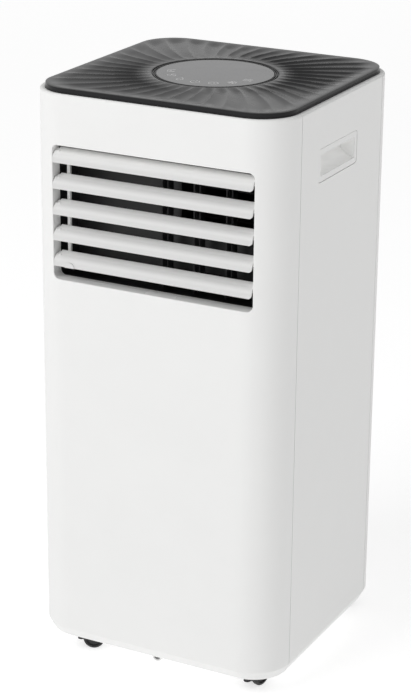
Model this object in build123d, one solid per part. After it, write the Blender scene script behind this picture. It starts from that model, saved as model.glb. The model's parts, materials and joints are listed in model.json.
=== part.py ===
from build123d import *
from math import atan2, cos, degrees, pi, radians, sin
import os

# A portable room air conditioner: a rounded tower on four castors, with hand-set louvres high on
# its front, touch controls in its lid, and intake grilles and a hose socket on its back.
# Millimetres. The origin is on the floor under the middle of the body, +Z is up and -Y is the front.

# Cabinet
WIDTH = 300.0
DEPTH = 288.0
CORNER_R = 45.0
WALL = 2.5
SHELL_BOTTOM = 34.0
SHELL_TOP = 648.6
TOP_ROUND = 2.5
SKIRT_HEIGHT = 11.0
SKIRT_INSET = 5.7
SEAM_Y = 101.4
SEAM_GAP = 0.8
LAP = 2.0
FIT_GAP = 0.2

# Lid and controls
LID_WIDTH = 286.4
LID_DEPTH = 281.2
LID_R = 41.0
LID_TOP = 654.4
LID_SEAT = SHELL_TOP - 3.2
LID_PLATE = 3.0
LID_STEP = 0.8
RIM_LEDGE = 13.0
DISC_R = 68.7
GLASS_R = 63.0

# Front outlet and its louvres
OUTLET_WIDTH = 235.2
OUTLET_HEIGHT = 146.5
OUTLET_R = 6.5
OUTLET_BOTTOM = 447.2
OUTLET_Z = OUTLET_BOTTOM + OUTLET_HEIGHT / 2
REVEAL_BACK = -127.0
LOUVRES = 5
LOUVRE_PITCH = 28.25
LOUVRE_TOP_LIP = 574.4
LOUVRE_HALF = 116.6
LOUVRE_BEND = 8.0
BLADE_T = 2.2
PIVOT_Y = -136.0
PIVOT_RISE = 8.5
CRANK = 12.5
END_CUT = 2.2
LINK_X = -108.2
LINK_HALF = 1.7
PIN_R = 1.5
PIN_PLAY = 0.05

# Upright vanes behind the louvres
VANES = 3
VANE_PITCH = 37.5
VANE_Y = -106.0
VANE_CHORD = 24.0
VANE_T = 1.6
DUCT_BACK = -86.0
TIE_Z = 457.5
TIE_Y = -97.0

# Hand grips
GRIP_Y = -11.0
GRIP_Z = 585.0
GRIP_LENGTH = 98.0
GRIP_HEIGHT = 36.0
GRIP_R = 5.0
GRIP_FLANGE = 6.5
GRIP_REACH = 19.0

# Back
FILTER_Z = 510.0
FILTER_HEIGHT = 204.0
LOWER_Z = 151.0
LOWER_HEIGHT = 170.0
GRILLE_WIDTH = 212.0
BAR_PITCH = 8.5
GRILLE_BACK = 145.0
SOCKET_X = 25.0
SOCKET_Z = 318.0
SOCKET_R = 65.0
SOCKET_WALL = 3.0
GLAND_X = -75.0
GLAND_Z = 300.0
GLAND_R = 8.0
SCREW_R = 2.0
SCREW_PLACES = [(-80, LID_SEAT - 18), (80, LID_SEAT - 18), (-95, 46), (95, 46)]

# Refrigeration side
FAN_R = 62.0
FAN_Y = 0.0
FAN_Z = 500.0
CONDENSER_FAN_R = 56.0
CONDENSER_FAN_Y = -24.0
CONDENSER_FAN_Z = 215.0
SHAFT_R = 4.0
COMPRESSOR_X = -75.0
COMPRESSOR_Y = -15.0
COMPRESSOR_R = 48.0
DECK_Z = 398.0

# Base and castors
FLOOR_Z = 27.5
FLOOR_T = 3.0
PAN_WIDTH = 285.0
PAN_DEPTH = 273.0
PAN_WALL_TOP = 58.0
CASTOR_X = 105.6
CASTOR_Y = 114.2
CASTOR_TRAIL = 15.0
WHEEL_R = 12.0
WHEEL_WIDTH = 6.6
WHEEL_EDGE = 2.0
STEM_R = 4.0
HOOD_R = 9.5
HOOD_Z = 18.0
CASTORS = {
    "front_left": (-CASTOR_X, -CASTOR_Y, 25.0),
    "front_right": (CASTOR_X, -CASTOR_Y, 75.0),
    "rear_left": (-CASTOR_X, CASTOR_Y, 20.0),
    "rear_right": (CASTOR_X, CASTOR_Y, 35.0),
}
DRAIN_X = 1.2
DRAIN_Z = 18.6
DRAIN_R = 5.6
DRAIN_FRONT = -130.0

FRONT = -DEPTH / 2
BACK = DEPTH / 2
INSIDE_X = WIDTH / 2 - WALL
INSIDE_Y = DEPTH / 2 - WALL


def save(node, shape):
    """Write one piece as its own STEP file."""
    export_step(shape, f"parts/{node}.step")


def prism(width, depth, radius, low, high):
    """An upright prism with rounded corners, centred on the Z axis."""
    return Pos(0, 0, low) * extrude(RectangleRounded(width, depth, radius), high - low)


def block(x, y, z):
    """A box from its pairs of limits."""
    middle = Pos((x[0] + x[1]) / 2, (y[0] + y[1]) / 2, (z[0] + z[1]) / 2)
    return middle * Box(x[1] - x[0], y[1] - y[0], z[1] - z[0])


def rod(radius, start, end):
    """A round bar between two points."""
    run = Vector(*end) - Vector(*start)
    return extrude(Plane(origin=start, z_dir=run) * Circle(radius), run.length)


def pipe(radius, wall, start, end):
    """A round tube between two points."""
    return rod(radius, start, end) - rod(radius - wall, start, end)


def window(width, height, radius, z, y):
    """A rounded prism along Y, centred on X = 0 at height z."""
    face = Plane(origin=(0, y[1], z), x_dir=(1, 0, 0), z_dir=(0, -1, 0))
    return extrude(face * RectangleRounded(width, height, radius), y[1] - y[0])


def side_profile(x, shape, length):
    """Extrude a sketch drawn in Y and Z along +X from x."""
    face = Plane(origin=(x, 0, 0), x_dir=(0, 1, 0), z_dir=(1, 0, 0))
    return extrude(face * shape, length)


# Cabinet shells


def tapered_skirt(inset):
    """The turned-in foot of the shell, or its hollow when inset by the wall."""
    taper = degrees(atan2(SKIRT_INSET, SKIRT_HEIGHT))
    outline = RectangleRounded(WIDTH - 2 * inset, DEPTH - 2 * inset, CORNER_R - inset)
    return Pos(0, 0, SHELL_BOTTOM) * extrude(outline, -SKIRT_HEIGHT, taper=taper)


def cabinet_ring():
    """The whole outer wall with its top flange, before it is split into panels."""
    outer = prism(WIDTH, DEPTH, CORNER_R, SHELL_BOTTOM, SHELL_TOP)
    outer = fillet(outer.faces().sort_by(Axis.Z)[-1].edges(), TOP_ROUND)
    outer += tapered_skirt(0)
    inner = prism(2 * INSIDE_X, 2 * INSIDE_Y, CORNER_R - WALL, SHELL_BOTTOM, LID_SEAT - LID_PLATE)
    inner += tapered_skirt(WALL)
    ledge_hole = prism(
        WIDTH - 2 * RIM_LEDGE,
        DEPTH - 2 * RIM_LEDGE,
        LID_R - 5,
        LID_SEAT - LID_PLATE,
        LID_SEAT,
    )
    lid_hole = prism(
        LID_WIDTH + 2 * (LID_STEP + FIT_GAP),
        LID_DEPTH + 2 * (LID_STEP + FIT_GAP),
        LID_R + LID_STEP + FIT_GAP,
        LID_SEAT,
        SHELL_TOP,
    )
    return outer - inner - ledge_hole - lid_hole


def seam_laps(side):
    """Strips on a side panel that pass behind the front and rear shells at the seams."""
    x = sorted((side * (INSIDE_X - FIT_GAP - LAP), side * (INSIDE_X - FIT_GAP)))
    root = sorted((side * (INSIDE_X - FIT_GAP - LAP), side * (INSIDE_X + 0.5)))
    laps = Part()
    for end in (-1, 1):
        tip = sorted((end * (SEAM_Y - 7), end * (SEAM_Y + 0.8)))
        foot = sorted((end * (SEAM_Y - 7), end * (SEAM_Y - SEAM_GAP)))
        laps += block(x, tip, (SHELL_BOTTOM + 50, LID_SEAT - 8))
        laps += block(root, foot, (SHELL_BOTTOM + 50, LID_SEAT - 8))
    return laps


def front_shell(ring):
    """The moulded front, wrapped round both front corners, with the outlet opening."""
    shell = ring & block((-WIDTH, WIDTH), (-DEPTH, -SEAM_Y - SEAM_GAP / 2), (0, LID_TOP))
    shell -= window(OUTLET_WIDTH, OUTLET_HEIGHT, OUTLET_R, OUTLET_Z, (FRONT - 5, FRONT + 10))
    rim = [
        edge
        for edge in shell.edges()
        if abs(edge.center().Y - FRONT) < 0.01
        and abs(edge.center().X) < OUTLET_WIDTH / 2 + 1
        and abs(edge.center().Z - OUTLET_Z) < OUTLET_HEIGHT / 2 + 1
    ]
    return fillet(rim, 0.9)


def side_panel(ring, side):
    """A flat side panel with the opening for its hand grip."""
    x = sorted((side * 10, side * WIDTH))
    y = SEAM_Y - SEAM_GAP / 2
    panel = (ring & block(x, (-y, y), (0, LID_TOP))) + seam_laps(side)
    return panel - grip_outline(side, 0, WALL + 5)


def grip_outline(side, clearance, depth):
    """A rounded prism along X that fills the grip's place in the side panel."""
    face = Plane(
        origin=(side * (WIDTH / 2 + 1), GRIP_Y, GRIP_Z),
        x_dir=(0, 1, 0),
        z_dir=(-side, 0, 0),
    )
    outline = RectangleRounded(GRIP_LENGTH - 2 * clearance, GRIP_HEIGHT - 2 * clearance, GRIP_R - clearance)
    return extrude(face * outline, depth + 1)


def grip_section(shrink):
    """Quarter-round scoop in X and Z, for the side at +X; shrink leaves the wall round it."""
    edge = WIDTH / 2 - 0.3
    low = GRIP_Z - GRIP_HEIGHT / 2 + GRIP_FLANGE - shrink
    high = GRIP_Z + GRIP_HEIGHT / 2 - GRIP_FLANGE + shrink
    reach = GRIP_REACH + shrink
    mid = (edge - reach * cos(radians(45)), high - (high - low) * sin(radians(45)))
    scoop = ThreePointArc((edge, low), mid, (edge - reach, high))
    back = Line((edge - reach, high), (edge, high))
    front = Line((edge, high), (edge, low))
    return make_face(Curve() + [scoop, back, front])


def hand_grip(side):
    """A moulded finger pocket with a flange that sits flush in the side panel."""
    half = GRIP_LENGTH / 2 - GRIP_FLANGE
    plane = Plane(origin=(0, GRIP_Y + half, 0), x_dir=(1, 0, 0), z_dir=(0, -1, 0))
    outer_plane = Plane(origin=(0, GRIP_Y + half + 2, 0), x_dir=(1, 0, 0), z_dir=(0, -1, 0))
    pocket = extrude(outer_plane * grip_section(2.0), 2 * half + 4)
    flange = grip_outline(1, 0.6, WALL - 0.3) & block((0, WIDTH / 2 - 0.3), (-DEPTH, DEPTH), (0, LID_TOP))
    grip = pocket + flange - extrude(plane * grip_section(0.0), 2 * half)
    return grip if side > 0 else mirror(grip, about=Plane.YZ)


def rear_shell(ring):
    """The moulded back with its two intake windows, hose socket hole, cord and screw holes."""
    shell = ring & block((-WIDTH, WIDTH), (SEAM_Y + SEAM_GAP / 2, DEPTH), (0, LID_TOP))
    cut = (BACK - 10, BACK + 5)
    shell -= window(GRILLE_WIDTH, FILTER_HEIGHT, 6, FILTER_Z, cut)
    shell -= window(GRILLE_WIDTH, LOWER_HEIGHT, 6, LOWER_Z, cut)
    hole_r = SOCKET_R + SOCKET_WALL + 0.4
    shell -= rod(hole_r, (SOCKET_X, cut[0], SOCKET_Z), (SOCKET_X, cut[1], SOCKET_Z))
    shell -= rod(GLAND_R, (GLAND_X, cut[0], GLAND_Z), (GLAND_X, cut[1], GLAND_Z))
    for x, z in SCREW_PLACES:
        shell -= rod(SCREW_R + 0.3, (x, cut[0], z), (x, cut[1], z))
    return shell


# Lid and controls


def top_lid():
    """The dark lid: a plate with a rim, a stepped foot, a hole for the control disc and two lugs."""
    top = prism(LID_WIDTH, LID_DEPTH, LID_R, LID_SEAT + 0.1, LID_TOP)
    foot = prism(
        LID_WIDTH + 2 * LID_STEP,
        LID_DEPTH + 2 * LID_STEP,
        LID_R + LID_STEP,
        LID_SEAT + 0.1,
        SHELL_TOP + 1.2,
    )
    hollow = prism(LID_WIDTH - 6, LID_DEPTH - 6, LID_R - 3, LID_SEAT, LID_TOP - LID_PLATE)
    lid = top + foot - hollow
    seat = rod(DISC_R + 3, (0, 0, LID_TOP - 6), (0, 0, LID_TOP - 1))
    lid = lid + seat - rod(DISC_R + FIT_GAP, (0, 0, LID_TOP - 4), (0, 0, LID_TOP + 1))
    lid -= rod(GLASS_R - 6, (0, 0, LID_SEAT - 1), (0, 0, LID_TOP))
    for x in (-80, 80):
        lug = block((x - 9, x + 9), (INSIDE_Y - 14, INSIDE_Y - FIT_GAP - 10.5), (LID_SEAT - 26, LID_TOP - 2))
        nose = block((x - 6, x + 6), (INSIDE_Y - 14, INSIDE_Y - FIT_GAP), (LID_SEAT - 24, LID_SEAT - 12))
        lid += lug + nose
        lid -= rod(SCREW_R - 0.1, (x, INSIDE_Y - 12, LID_SEAT - 18), (x, INSIDE_Y + 5, LID_SEAT - 18))
    return lid


def control_bezel():
    """The ring round the control glass."""
    ring = pipe(DISC_R, DISC_R - GLASS_R - FIT_GAP, (0, 0, LID_TOP - 3.9), (0, 0, LID_TOP))
    groove = pipe(DISC_R - 1.6, 1.4, (0, 0, LID_TOP - 1.4), (0, 0, LID_TOP + 1))
    return ring - groove


def control_glass():
    """The touch disc."""
    glass = rod(GLASS_R, (0, 0, LID_TOP - 3.4), (0, 0, LID_TOP - 0.4))
    return fillet(glass.edges().sort_by(Axis.Z)[-1], 0.5)


def display_board():
    """The touch and display board under the glass, on three posts from the glass."""
    board = rod(GLASS_R - 8, (0, 0, LID_TOP - 9.0), (0, 0, LID_TOP - 7.4))
    for turn in range(3):
        angle = 2 * pi * turn / 3
        x = 48 * cos(angle)
        y = 48 * sin(angle)
        board += rod(3, (x, y, LID_TOP - 7.4), (x, y, LID_TOP - 3.4))
    return board


# Outlet


def louvre_lip(index):
    """Height of a louvre's lower front edge, counted from the top."""
    return LOUVRE_TOP_LIP - index * LOUVRE_PITCH


def louvre_pivot(index):
    """Height of a louvre's pivot pins."""
    return louvre_lip(index) + PIVOT_RISE


def outlet_frame():
    """The reveal inside the outlet, with the louvres' pivot holes in its side walls."""
    wall = 2.2
    frame = window(OUTLET_WIDTH + 2 * wall, OUTLET_HEIGHT + 2 * wall, OUTLET_R + wall, OUTLET_Z,
                   (FRONT + WALL + 0.1, REVEAL_BACK))
    frame += window(OUTLET_WIDTH + 16, OUTLET_HEIGHT + 16, OUTLET_R + 8, OUTLET_Z,
                    (FRONT + WALL + 0.1, FRONT + WALL + 2.1))
    frame -= window(OUTLET_WIDTH, OUTLET_HEIGHT, OUTLET_R, OUTLET_Z, (FRONT, REVEAL_BACK + 1))
    frame &= prism(2 * INSIDE_X - 0.2, 2 * INSIDE_Y - 0.2, CORNER_R - WALL - 0.1, SHELL_BOTTOM, SHELL_TOP)
    for index in range(LOUVRES):
        z = louvre_pivot(index)
        frame -= rod(PIN_R + PIN_PLAY, (-OUTLET_WIDTH, PIVOT_Y, z), (OUTLET_WIDTH, PIVOT_Y, z))
    return frame


def louvre(index):
    """A curved louvre with end pins and the crank that the link bar joins."""
    lip = louvre_lip(index)
    pivot = (PIVOT_Y, lip + PIVOT_RISE)
    front = (-142.7, lip + 1.3)
    bend = (-142.7, lip + 8.3)
    rear = (-129.0, lip + 13.0)
    curve = trace(FilletPolyline(front, bend, rear, radius=LOUVRE_BEND), BLADE_T)
    curve += Pos(*rear) * Circle(BLADE_T / 2)
    curve += Pos(*front) * Circle(1.3)
    slat = side_profile(-LOUVRE_HALF, curve, 2 * LOUVRE_HALF)
    slat -= louvre_corner(lip)
    for side in (-1, 1):
        end = sorted((side * (LOUVRE_HALF - END_CUT), side * (LOUVRE_HALF + 1)))
        slat -= block(end, (PIVOT_Y + 4, PIVOT_Y + 12), (lip + 8, lip + 18))
    hub = Pos(*pivot) * Circle(3.8)
    for x in (-LOUVRE_HALF, LOUVRE_HALF - 1.4):
        slat += side_profile(x, hub, 1.4)
    slat += side_profile(-113.0, hub + crank_arm(pivot), 2.0)
    crank = (pivot[0] + CRANK, pivot[1])
    slat += rod(1.2, (-111.2, *crank), (LINK_X + 2.8, *crank))
    for side in (-1, 1):
        slat += rod(PIN_R, (side * (LOUVRE_HALF - 1), *pivot), (side * (LOUVRE_HALF + 2.8), *pivot))
    if index == LOUVRES - 1:
        slat += finger_tab(lip)
    return slat


def louvre_corner(lip):
    """What rounds off the lower corner of a louvre's lip at its right end."""
    radius = 4.5
    x = LOUVRE_HALF - radius
    z = lip + radius
    corner = block((x, LOUVRE_HALF + 1), (-150, -136), (lip - 1, z))
    return corner - rod(radius, (x, -151, z), (x, -135, z))


def crank_arm(pivot):
    """Arm from a louvre's pivot back to its crank pin, in Y and Z."""
    arm = Pos(pivot[0] + CRANK / 2, pivot[1]) * Rectangle(CRANK, 4.6)
    return arm + Pos(pivot[0] + CRANK, pivot[1]) * Circle(2.3)


def finger_tab(lip):
    """Half-round tab on the bottom louvre's lip, by which the louvres are tilted."""
    disc = rod(5.7, (-97, FRONT - 1, lip + 0.4), (-97, -140.6, lip + 0.4))
    return disc & block((-110, -80), (-150, -130), (lip + 0.4, lip + 10))


def louvre_link_bar():
    """The bar that joins the louvres' cranks."""
    y = PIVOT_Y + CRANK
    low = louvre_pivot(LOUVRES - 1)
    high = louvre_pivot(0)
    x = (LINK_X - LINK_HALF, LINK_X + LINK_HALF)
    bar = block(x, (y - 1.5, y + 1.5), (low, high))
    for index in range(LOUVRES):
        z = louvre_pivot(index)
        bar += rod(2.4, (x[0], y, z), (x[1], y, z))
    for index in range(LOUVRES):
        z = louvre_pivot(index)
        bar -= rod(1.2 + PIN_PLAY, (LINK_X - 5, y, z), (LINK_X + 5, y, z))
    return bar


def vane_x(index):
    """Place of an upright vane, counted from the middle of the outlet towards the fan's side."""
    return index * VANE_PITCH


def outlet_duct():
    """The black box behind the reveal, which carries the vanes and meets the fan's mouth."""
    wall = 2.5
    width = OUTLET_WIDTH + 3
    height = OUTLET_HEIGHT + 2
    y = (REVEAL_BACK + 0.1, DUCT_BACK + 2)
    duct = window(width + 2 * wall, height + 2 * wall, OUTLET_R + wall, OUTLET_Z, y)
    duct -= window(width, height, OUTLET_R, OUTLET_Z, (y[0] - 1, DUCT_BACK))
    duct -= block((6, 110), (DUCT_BACK - 1, DUCT_BACK + 3), (507, 580))
    for index in range(VANES):
        x = vane_x(index)
        duct -= rod(PIN_R + PIN_PLAY, (x, VANE_Y, OUTLET_Z - 90), (x, VANE_Y, OUTLET_Z + 90))
    return duct


def vane(index):
    """An upright vane with top and bottom pins and a notch for the tie bar."""
    x = vane_x(index)
    low = OUTLET_BOTTOM + 1
    high = OUTLET_BOTTOM + OUTLET_HEIGHT - 1
    half = VANE_CHORD / 2
    blade = block((x - VANE_T / 2, x + VANE_T / 2), (VANE_Y - half, VANE_Y + half), (low, high))
    blade -= block((x - 5, x + 5), (TIE_Y - 4, TIE_Y + 9), (TIE_Z - 4, TIE_Z + 4))
    blade += rod(2.2, (x, VANE_Y, low), (x, VANE_Y, high))
    blade += rod(PIN_R, (x, VANE_Y, low - 4), (x, VANE_Y, high + 4))
    blade += block((x - VANE_T / 2, x + VANE_T / 2), (TIE_Y - 4.5, TIE_Y + 1.5), (TIE_Z - 6, TIE_Z - 4))
    blade += rod(1.0, (x, TIE_Y, TIE_Z - 5), (x, TIE_Y, TIE_Z + 2.5))
    return blade


def vane_tie_bar():
    """The bar that joins the vanes' rear pins."""
    ends = (vane_x(0), vane_x(VANES - 1))
    bar = block(ends, (TIE_Y - 2.4, TIE_Y + 2.4), (TIE_Z - 1.5, TIE_Z + 1.5))
    for x in ends:
        bar += rod(2.4, (x, TIE_Y, TIE_Z - 1.5), (x, TIE_Y, TIE_Z + 1.5))
    for index in range(VANES):
        x = vane_x(index)
        bar -= rod(1.0 + PIN_PLAY, (x, TIE_Y, TIE_Z - 3), (x, TIE_Y, TIE_Z + 3))
    return bar


# Fans


def scroll(x, centre, radius, mouth, inlet_r, shaft_hole):
    """A fan casing: a drum with a straight mouth tangent to its top, open at the mouth's end.

    x holds the casing's limits, centre is (y, z) and mouth is the Y of the mouth's end.
    """
    y, z = centre
    span = sorted((y, mouth))
    wall = 2.0
    drum = Pos(y, z) * Circle(radius)
    throat = Pos((span[0] + span[1]) / 2, z + radius / 2 + 2.5) * Rectangle(span[1] - span[0], radius - 5)
    outer = side_profile(x[0], drum + throat, x[1] - x[0])
    beyond = mouth + (5 if mouth > y else -5)
    reach = sorted((y, beyond))
    bore = Pos(y, z) * Circle(radius - wall)
    clear = radius - 5 - 2 * wall
    way = Pos((reach[0] + reach[1]) / 2, z + radius / 2 + 2.5) * Rectangle(reach[1] - reach[0], clear)
    casing = outer - side_profile(x[0] + wall, bore + way, x[1] - x[0] - 2 * wall)
    casing -= rod(inlet_r, (x[1] - 5, y, z), (x[1] + 5, y, z))
    return casing - rod(shaft_hole, (x[0] - 5, y, z), (x[0] + 5, y, z))


def fan_wheel(x, centre, radius, shaft_start):
    """A forward-curved blower wheel with its shaft, turning about X."""
    y, z = centre
    place = Plane(origin=(x[0], y, z), x_dir=(0, 1, 0), z_dir=(1, 0, 0))
    width = x[1] - x[0]
    blades = Sketch()
    for turn in range(24):
        blades += Rot(0, 0, 15 * turn) * Pos(radius - 5, 0) * Rot(0, 0, 28) * Rectangle(9.0, 1.4)
    wheel = extrude(place * (blades & Circle(radius - 0.5)), width)
    wheel += extrude(place * Circle(radius), 2.5)
    wheel += extrude(place.offset(width - 2.5) * (Circle(radius) - Circle(radius - 9.5)), 2.5)
    wheel += extrude(place * Circle(11), 24)
    return wheel + rod(SHAFT_R, (shaft_start, y, z), (x[0] + 24, y, z))


def fan_motor(x, centre, radius):
    """A can motor with cooling bosses, bored for the fan's shaft."""
    y, z = centre
    motor = rod(radius, (x[0], y, z), (x[1], y, z))
    motor = fillet(motor.edges().filter_by(GeomType.CIRCLE).sort_by(Axis.X)[0], 6)
    motor += pipe(radius + 3, 4, (x[1] - 14, y, z), (x[1] - 8, y, z))
    return motor - rod(SHAFT_R + PIN_PLAY, (x[0] + 16, y, z), (x[1] + 1, y, z))


def scroll_feet(y, z_deck, z_top, x):
    """Two feet under the fan casing."""
    feet = Part()
    for side in (-1, 1):
        feet += block(x, sorted((y + side * 20, y + side * 28)), (z_deck, z_top))
    return feet


# Coils


def coil(z, y):
    """A finned coil block with the hairpin bends that stand out of both ends."""
    half = 118.0
    core = block((-half, half), y, z)
    row = (y[0] + y[1]) / 2
    bends = int((z[1] - z[0]) // 36)
    for index in range(bends):
        middle = z[0] + 18 + index * (z[1] - z[0] - 36) / (bends - 1)
        for side in (-1, 1):
            ring = Pos(side * half, row, middle) * Rot(90, 0, 0) * Torus(9, 3.4)
            core += ring & block(sorted((side * (half - 1), side * (half + 20))), y, (z[0] - 20, z[1] + 20))
    return core


def mid_deck():
    """The deck between the two air paths, with the tray that catches the evaporator's water."""
    width = 2 * (INSIDE_X - LAP - 0.5)
    deck = prism(width, 2 * INSIDE_Y - 1, CORNER_R - WALL - 2, DECK_Z, DECK_Z + 3)
    tray = block((-132, 132), (80, 124), (DECK_Z + 2, DECK_Z + 13))
    tray -= block((-129.5, 129.5), (82.5, 121.5), (DECK_Z + 3, DECK_Z + 14))
    ribs = Part()
    for y in (88, 113):
        ribs += block((-118, 118), (y - 1, y + 1), (DECK_Z + 2, DECK_Z + 13.8))
    slot = block((-118, -96), (20, 50), (DECK_Z - 1, DECK_Z + 4))
    return deck + tray + ribs - slot - rod(5, (0, 101, DECK_Z - 1), (0, 101, DECK_Z + 5))


# Exhaust


def exhaust_duct():
    """The duct from the condenser fan's mouth to the hose socket."""
    start = Plane(origin=(65, 50.2, 252), x_dir=(1, 0, 0), z_dir=(0, 1, 0))
    end = Plane(origin=(SOCKET_X, 112, SOCKET_Z), x_dir=(1, 0, 0), z_dir=(0, 1, 0))
    outer = loft([start * RectangleRounded(94, 68, 12), end * Circle(SOCKET_R + SOCKET_WALL)])
    inner = loft([start * RectangleRounded(90, 64, 10), end * Circle(SOCKET_R)])
    return outer - inner


def exhaust_socket():
    """The round socket that takes the exhaust hose, with a guard at its inner end."""
    inner = 112.2

    def at(y):
        return (SOCKET_X, y, SOCKET_Z)

    guard_r = SOCKET_R - 3
    socket = pipe(SOCKET_R + SOCKET_WALL, SOCKET_WALL, at(inner + 2.5), at(BACK - 0.2))
    socket += pipe(SOCKET_R + SOCKET_WALL, SOCKET_R + SOCKET_WALL - guard_r, at(inner), at(inner + 2.5))
    socket += pipe(SOCKET_R + 9, 8, at(INSIDE_Y - 2.2), at(INSIDE_Y - 0.2))
    guard = Part()
    for step in range(-4, 5):
        bar_x = SOCKET_X + 14 * step
        guard += block((bar_x - 1, bar_x + 1), (inner, inner + 2.5), (SOCKET_Z - 70, SOCKET_Z + 70))
    guard += block((SOCKET_X - 70, SOCKET_X + 70), (inner, inner + 2.5), (SOCKET_Z - 1.5, SOCKET_Z + 1.5))
    return socket + (guard & rod(guard_r + 0.5, at(inner), at(inner + 2.5)))


# Refrigeration circuit


def compressor():
    """The welded compressor can on its foot plate."""
    body = rod(COMPRESSOR_R, (COMPRESSOR_X, COMPRESSOR_Y, 52), (COMPRESSOR_X, COMPRESSOR_Y, 240))
    body = fillet(body.edges().filter_by(GeomType.CIRCLE), 14)
    foot = rod(62, (COMPRESSOR_X, COMPRESSOR_Y, 50), (COMPRESSOR_X, COMPRESSOR_Y, 53))
    stub = rod(7, (COMPRESSOR_X, COMPRESSOR_Y, 238), (COMPRESSOR_X, COMPRESSOR_Y, 246))
    return body + foot + stub


def compressor_mounts():
    """Three rubber mounts between the foot plate and the base pan."""
    mounts = []
    for turn in range(3):
        angle = radians(90 + 120 * turn)
        x = COMPRESSOR_X + 53 * cos(angle)
        y = COMPRESSOR_Y + 53 * sin(angle)
        low = rod(8, (x, y, FLOOR_Z + FLOOR_T), (x, y, 49.9))
        mounts.append(low - pipe(9, 2, (x, y, 37), (x, y, 42)))
    return Compound(children=mounts)


def accumulator():
    """The suction accumulator strapped beside the compressor."""
    y = COMPRESSOR_Y - 72
    can = rod(18, (COMPRESSOR_X, y, 90), (COMPRESSOR_X, y, 200))
    can = fillet(can.edges().filter_by(GeomType.CIRCLE), 9)
    strap = pipe(19.5, 2, (COMPRESSOR_X, y, 140), (COMPRESSOR_X, y, 152))
    near_can = COMPRESSOR_Y - COMPRESSOR_R - 0.05
    arm = block((COMPRESSOR_X - 6, COMPRESSOR_X + 6), (y + 17, near_can), (141, 151))
    return can + strap + arm


def bent_pipe(points, bend, radius):
    """A copper tube through points with tangent bends."""
    path = FilletPolyline(*points, radius=bend)
    start = Plane(origin=path @ 0, z_dir=path % 0)
    return sweep(start * Circle(radius), path)


def refrigerant_pipes():
    """Discharge, suction and capillary lines."""
    top = 246.2
    x = COMPRESSOR_X
    y = COMPRESSOR_Y
    discharge = bent_pipe([(x, y, top), (x, y, 275), (x, 70, 275), (x, 70, 200), (x, 91.8, 200)], 10, 4)
    suction = bent_pipe(
        [(x, y - 72, 200.2), (x, y - 72, 262), (-107, y - 72, 262), (-107, 30, 262), (-107, 30, 440),
         (-107, 87.8, 440)], 12, 4.5)
    capillary = bent_pipe([(-60, 91.8, 100), (-60, 60, 100), (-20, 60, 100), (-20, 60, 300), (-102, 60, 300),
                           (-102, 42, 300), (-102, 42, 470), (-102, 87.8, 470)], 6, 1.8)
    return Compound(children=[discharge, suction, capillary])


def splash_motor():
    """The small motor that turns the splash wheel, on a foot from the base pan."""
    body = rod(17, (20, 52, 60), (20, 76, 60))
    foot = block((10, 30), (54, 74), (FLOOR_Z + FLOOR_T, 50))
    return body + foot - rod(2.05, (20, 60, 60), (20, 80, 60))


def splash_wheel():
    """The toothed wheel that throws condensate on to the hot coil."""
    wheel = rod(22, (20, 79, 60), (20, 82, 60))
    for turn in range(12):
        angle = 2 * pi * turn / 12
        x = 20 + 22 * cos(angle)
        z = 60 + 22 * sin(angle)
        wheel += rod(3, (x, 78, z), (x, 83, z))
    return wheel + rod(2, (20, 62, 60), (20, 82, 60))


# Electrics


def electrics_box():
    """The folded steel box behind the front, closed on all sides but the back."""
    box = block((-60, 60), (-139, -100), (300, 385))
    box -= block((-58.8, 58.8), (-137.8, -98), (301.2, 383.8))
    for x in (-50, 40):
        box += block((x, x + 10), (-141.3, -138.5), (310, 375))
    return box


def main_board():
    """The control board with its relays and terminal block, on spacers."""
    board = block((-50, 20), (-131.6, -130), (308, 376))
    for x in (-46, 16):
        for z in (312, 372):
            board += rod(2.5, (x, -137.8, z), (x, -131, z))
    for x in (-40, -18, 4):
        board += block((x, x + 14), (-130, -116), (350, 368))
    return board + block((-40, 12), (-130, -120), (314, 324))


def run_capacitor():
    """The compressor's run capacitor."""
    can = rod(15, (40, -119, 301.2), (40, -119, 368))
    tabs = block((35, 37), (-122, -116), (368, 376)) + block((43, 45), (-122, -116), (368, 376))
    return can + tabs


# Back pieces

def cord_gland():
    """The inlet bush for the mains cord."""
    bush = rod(GLAND_R - 0.1, (GLAND_X, INSIDE_Y - 6, GLAND_Z), (GLAND_X, BACK + 0.5, GLAND_Z))
    bush += rod(GLAND_R + 3.5, (GLAND_X, BACK + 0.05, GLAND_Z), (GLAND_X, GRILLE_BACK, GLAND_Z))
    bush += rod(GLAND_R + 2, (GLAND_X, INSIDE_Y - 6, GLAND_Z), (GLAND_X, INSIDE_Y - 0.1, GLAND_Z))
    return bush - rod(4, (GLAND_X, INSIDE_Y - 10, GLAND_Z), (GLAND_X, BACK + 5, GLAND_Z))


def bar_grille(z, height, back, front):
    """A framed grille of level bars with three upright ribs."""
    width = GRILLE_WIDTH - 1.2
    height = height - 1.2
    frame = window(width, height, 5.4, z, (front, back))
    frame -= window(width - 14, height - 14, 2, z, (front - 1, back + 1))
    bars = int((height - 14) // BAR_PITCH)
    for index in range(bars):
        level = z + (index - (bars - 1) / 2) * BAR_PITCH
        frame += block((-width / 2 + 6, width / 2 - 6), (back - 3.2, back - 0.6), (level - 1.6, level + 1.6))
    for x in (-54, 0, 54):
        frame += block((x - 1.5, x + 1.5), (front, back - 0.8), (z - height / 2 + 6, z + height / 2 - 6))
    return frame


def filter_grille():
    """The upper intake grille, which pulls off with the air filter behind it."""
    grille = bar_grille(FILTER_Z, FILTER_HEIGHT, GRILLE_BACK, INSIDE_Y - 3)
    pull = window(44, 9, 3, FILTER_Z + FILTER_HEIGHT / 2 - 10, (INSIDE_Y - 3, GRILLE_BACK))
    recess = window(38, 5, 2, FILTER_Z + FILTER_HEIGHT / 2 - 10, (GRILLE_BACK - 2.2, GRILLE_BACK + 1))
    return grille + pull - recess


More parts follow.
